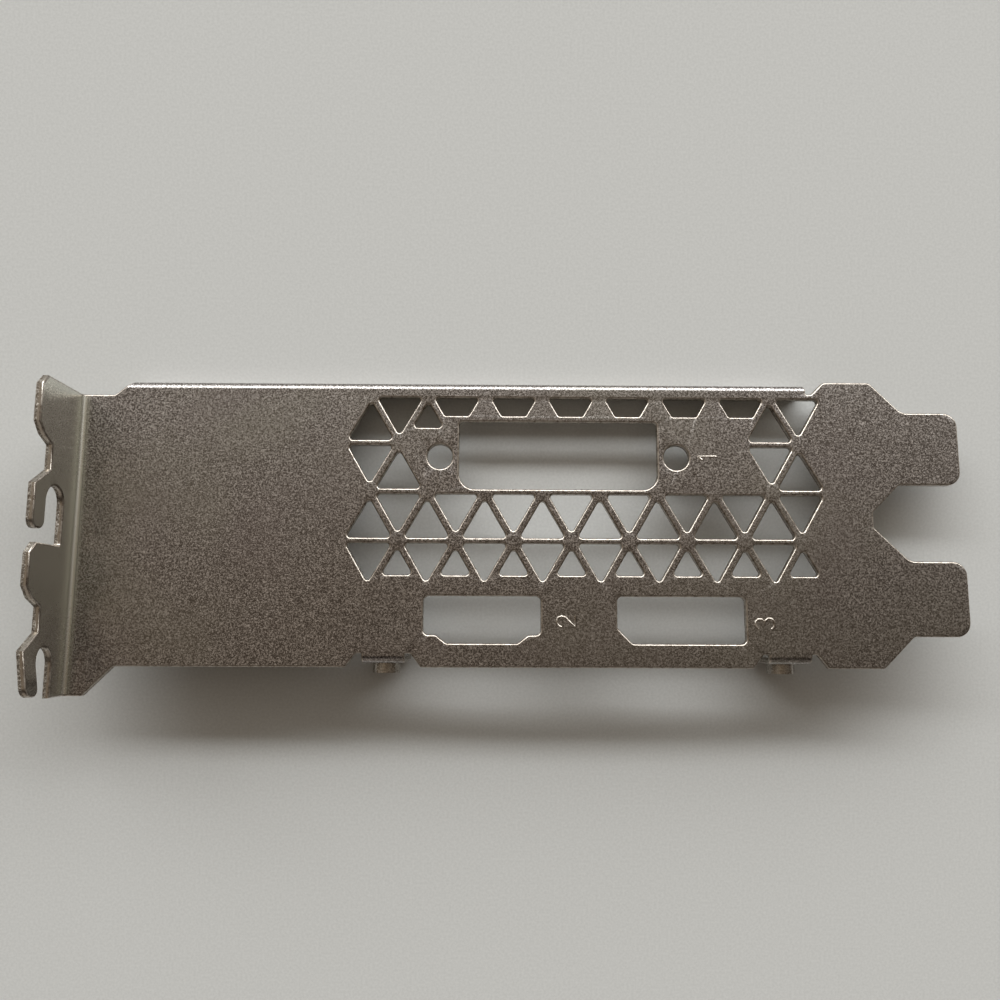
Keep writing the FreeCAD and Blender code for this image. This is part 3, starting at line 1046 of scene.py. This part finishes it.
@dataclass(frozen=True)
class Window:
    """One pane of soft light beyond the flange, in metres and watts."""

    name: str
    place: tuple[float, float, float]
    high: float
    power: float
    wide: float = 11.0
    colour: Colour = (0.965, 0.99, 1.0)

    def build(self) -> bpy.types.Object:
        """Hangs the pane and turns it to the part.

        Returns:
            The pane.
        """
        lamp = bpy.data.lights.new(self.name, "AREA")
        lamp.shape = "RECTANGLE"
        lamp.size, lamp.size_y = self.wide, self.high
        lamp.energy = self.power
        lamp.color = self.colour
        window = add_object(self.name, lamp)
        window.location = self.place
        window.rotation_euler = (-Vector(self.place)).to_track_quat("-Z", "Y").to_euler()
        return window


WINDOWS = (
    Window("window_above", place=(0.2, 4.23, 3.02), high=0.7, power=345.0),
    Window("window_below", place=(0.2, 4.82, 1.95), high=1.9, power=252.0),
)


@dataclass(frozen=True)
class DimRoom:
    """Dim surroundings: darkest over the near side, brighter ahead, at both sides and far behind."""

    far: Colour = (0.42, 0.38, 0.335)
    behind: Colour = (0.045, 0.034, 0.026)
    above: Colour = (0.315, 0.253, 0.187)
    bright: Colour = (0.48, 0.445, 0.395)
    behind_span: Span = (-0.8, -0.45)
    above_span: Span = (-0.22, 0.1)
    bright_span: Span = (0.14, 0.72)
    aside_span: Span = (0.06, 0.5)
    aside_ahead: Span = (-0.05, 0.3)
    dim_right: Span = (-0.7, 0.7)
    dim_ahead: Span = (0.1, 0.4)
    dimmer: float = 0.55

    def build(self) -> bpy.types.World:
        """Makes the world.

        Returns:
            The world that the scene uses.
        """
        world = bpy.data.worlds.new("dim_room")
        world.use_nodes = True
        graph = Graph(world.node_tree)
        heading = graph.node("ShaderNodeTexCoord", {}, {}, output="Generated")
        ahead, right = graph.axis(heading, "Y"), graph.axis(heading, "X")
        colour = graph.mix(ahead.ramp(self.behind_span), rgba(self.far), rgba(self.behind))
        colour = graph.mix(ahead.ramp(self.above_span), colour, rgba(self.above))
        colour = graph.mix(ahead.ramp(self.bright_span), colour, rgba(self.bright))
        aside = (right * right).ramp(self.aside_span) * ahead.ramp(self.aside_ahead)
        colour = graph.mix(aside, colour, rgba(self.bright))
        dim = right.ramp(self.dim_right) * (1 - ahead.ramp(self.dim_ahead)) * self.dimmer
        colour = graph.mix(dim, colour, rgba(self.behind))
        light = graph.node("ShaderNodeBackground", {}, {"Color": colour, "Strength": 1.0})
        graph.add("ShaderNodeOutputWorld", {}, {"Surface": light})
        bpy.context.scene.world = world
        return world


@dataclass(frozen=True)
class OverheadCamera:
    """Camera close above the part, looking straight down."""

    place: tuple[float, float, float] = (-0.00358, 0.00711, 0.12284)
    turn: tuple[float, float, float] = (-0.020591, -0.009261, 0.005535)
    lens: float = 31.219
    sensor: float = 36.0
    nearest: float = 2 * MM

    def build(self) -> bpy.types.Object:
        """Makes the camera and looks through it.

        Returns:
            The camera.
        """
        data = bpy.data.cameras.new("overhead")
        data.lens = self.lens
        data.sensor_width = self.sensor
        data.clip_start = self.nearest
        camera = add_object("overhead", data)
        camera.location = self.place
        camera.rotation_euler = Euler(self.turn, "XYZ")
        bpy.context.scene.camera = camera
        return camera


def main() -> None:
    """Builds the dressed bracket, its ground, light and camera."""
    logging.basicConfig(level=logging.INFO, format="%(name)s: %(message)s")
    plate = SheetFrame()
    pieces = [
        FoldedSheet(plate, LeaningProng()),
        BossThread(plate, plate.first_boss, "thread_first"),
        BossThread(plate, plate.first_boss + plate.boss_pitch, "thread_second"),
        PortNumbers(plate),
    ]
    for piece in pieces:
        LOG.info("%s: %d faces", piece.name, len(piece.build().data.polygons))
    PaleFloor().build()
    for window in WINDOWS:
        window.build()
    DimRoom().build()
    OverheadCamera().build()
    bpy.context.scene.view_settings.view_transform = "Standard"


if __name__ == "__main__":
    main()
